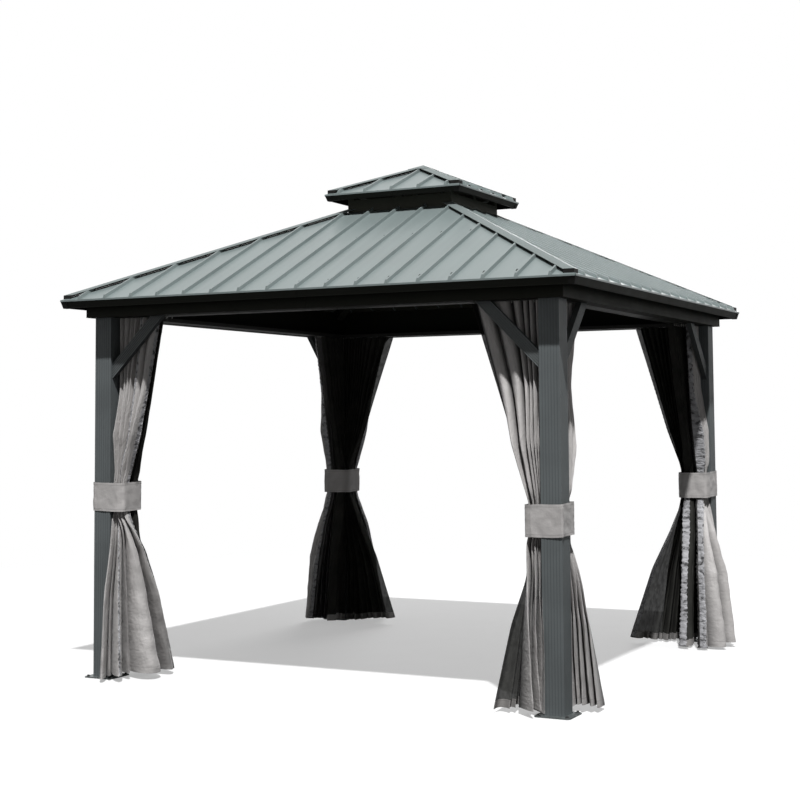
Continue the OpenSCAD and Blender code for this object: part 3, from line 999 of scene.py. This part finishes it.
def add_screws(name, places, material, scale):
    """Screw heads at (point, direction) places, joined into one piece."""
    form, form_faces = screw_form(scale)
    points, faces = [], []
    for spot, up in places:
        turn = up.to_track_quat("Z", "Y")
        start = len(points)
        points += [spot + turn @ p for p in form]
        faces += [tuple(i + start for i in face) for face in form_faces]
    return add_piece(name, points, faces, [material], smooth=False)


# Gliders of one cloth: how many, the first one's distance from the post, and their spread
GLIDERS = 9
GLIDER_START = 0.012
GLIDER_SPREAD = 0.31


def make_gliders(materials):
    """Small gliders that run in the slots of the tracks and carry the cloth."""
    form, form_faces = lathe([(1.4, 3), (1.4, -3), (2.8, -4), (3.0, -8), (2.2, -11), (0.8, -12)], 10)
    points, faces = [], []
    for k in range(4):
        for side in (0, 1):
            for lane in (0.5, 1.5):
                y = np.array(lane * LANE_W - TRACK_OUT)
                for i in range(GLIDERS):
                    a = GLIDER_START + GLIDER_SPREAD * (i / (GLIDERS - 1))
                    spot = local_to_frame(k, side, np.array(POST_IN - a), y, TRACK_Z)
                    start = len(points)
                    points += [Vector(spot) + p * 0.001 for p in form]
                    faces += [tuple(j + start for j in face) for face in form_faces]
    piece = add_piece("curtain_gliders", points, faces, [materials["gliders"]])


def turned(k, vector):
    return Matrix.Rotation(math.pi / 2 * k, 3, "Z") @ vector


# Distance of a roof screw from its rib, and the least that it keeps from the hip
SCREW_ROOM = 0.012
HIP_ROOM = 0.09


def roof_places(half, eave_z, pitch, rows, last_rib):
    """Screw places in the pans beside the ribs, at given distances from the centre."""
    places = []
    up = Vector((0, -math.sin(pitch), math.cos(pitch)))
    for k in range(4):
        for d in rows:
            for rib in range(-last_rib, last_rib + 1):
                x = rib * RIB_PITCH - RIB_W / 2 - SCREW_ROOM
                if abs(x) < d - HIP_ROOM:
                    spot = Vector((x, -d, eave_z + (half - d) * math.tan(pitch)))
                    places.append((turned(k, spot), turned(k, up)))
    return places


# Half thickness of a hip closure along x and y, and how far it stops short of the eave
CLOSURE_HALF = 0.0006
CLOSURE_STOP = 0.02


def make_hip_closures(materials):
    """Thin near-black foam strips along the hips, in the room between the sheets and the hip caps; their
    colour is painted shade for the gaps under the caps.
    """
    points, faces = [], []
    for half, inner, z, pitch in (
        (ROOF_HALF, NECK_HALF + 0.01, EAVE_Z, ROOF_PITCH),
        (UPPER_HALF, 0.02, UPPER_Z, UPPER_PITCH),
    ):
        for k in range(4):
            start = len(points)
            for d in (inner, half - CLOSURE_STOP):
                low = z + (half - d) * math.tan(pitch)
                for height in (0, RIB_H / math.cos(pitch)):
                    for offset in (-CLOSURE_HALF, CLOSURE_HALF):
                        points.append(turned(k, Vector((d + offset, offset - d, low + height))))
            box = [(0, 4, 6, 2), (1, 3, 7, 5), (0, 1, 5, 4), (2, 6, 7, 3), (0, 2, 3, 1), (4, 5, 7, 6)]
            faces += [tuple(i + start for i in face) for face in box]
    add_piece("hip_closures", points, faces, [materials["closures"]], smooth=False)


# Lower edge of a rib's end tab: its distance from the eave and its height above the sheet
TAB_STOP = 0.001
TAB_LIFT = 0.0003


def make_rib_ends(materials):
    """Folded tabs that slope from the ends of the ribs down to the eaves."""
    points, faces = [], []
    for half, z, pitch, last_rib in (
        (ROOF_HALF, EAVE_Z, ROOF_PITCH, RIBS),
        (UPPER_HALF, UPPER_Z, UPPER_PITCH, UPPER_RIBS),
    ):
        up = Vector((0, math.cos(pitch), math.sin(pitch)))
        out = Vector((0, -math.sin(pitch), math.cos(pitch)))
        for k in range(4):
            for rib in range(-last_rib, last_rib + 1):
                start = len(points)
                foot = Vector((rib * RIB_PITCH, -half, z))
                for x, run, rise in (
                    (-RIB_W / 2, RIB_STOP, 0),
                    (-RIB_TOP_W / 2, RIB_STOP, RIB_H),
                    (RIB_TOP_W / 2, RIB_STOP, RIB_H),
                    (RIB_W / 2, RIB_STOP, 0),
                    (-RIB_W / 2, TAB_STOP, TAB_LIFT),
                    (RIB_W / 2, TAB_STOP, TAB_LIFT),
                ):
                    points.append(turned(k, foot + Vector((x, 0, 0)) + up * run + out * rise))
                tab = [(4, 5, 2, 1), (0, 4, 1), (5, 3, 2), (3, 0, 1, 2), (0, 3, 5, 4)]
                faces += [tuple(i + start for i in face) for face in tab]
    ends = add_piece("rib_ends", points, faces, [materials["roof_sheet"]], smooth=False)


# Rows of roof screws, by their distance from the centre: near the eaves, over the purlins, near the vent
SCREW_ROWS = (1.42, 0.8, NECK_HALF + 0.07)
UPPER_SCREW_ROWS = (UPPER_HALF - 0.05,)


def make_screws(materials):
    places = roof_places(ROOF_HALF, EAVE_Z, ROOF_PITCH, SCREW_ROWS, RIBS)
    places += roof_places(UPPER_HALF, UPPER_Z, UPPER_PITCH, UPPER_SCREW_ROWS, UPPER_RIBS)
    add_screws("roof_screws", places, materials["screws"], scale=1.35)
    edge = plate_high.x - ANCHOR_INSET
    places = [
        (turned(k, Vector((x, -y, plate_high.z + 0.0005))), Vector((0, 0, 1)))
        for k in range(4)
        for x in (edge, 2 * POST_MID - edge)
        for y in (edge, 2 * POST_MID - edge)
    ]
    add_screws("anchor_bolts", places, materials["bolts"], scale=1.6)


bpy.context.scene.view_settings.view_transform = "Standard"
make_camera()
make_world()
make_lamp("key", place=(11.2, -19.6, 42.8), target=(0, 0, 1.2), size=1.2, power=28500)
make_lamp("back", place=(-3.4, 12, 5.4), target=(0, 0, 1.8), size=7.0, power=700)
make_floor()
materials = make_materials()
paint_frame(materials)
make_cloth(materials)
make_tie_bands(materials)
make_gliders(materials)
make_hip_closures(materials)
make_rib_ends(materials)
make_screws(materials)
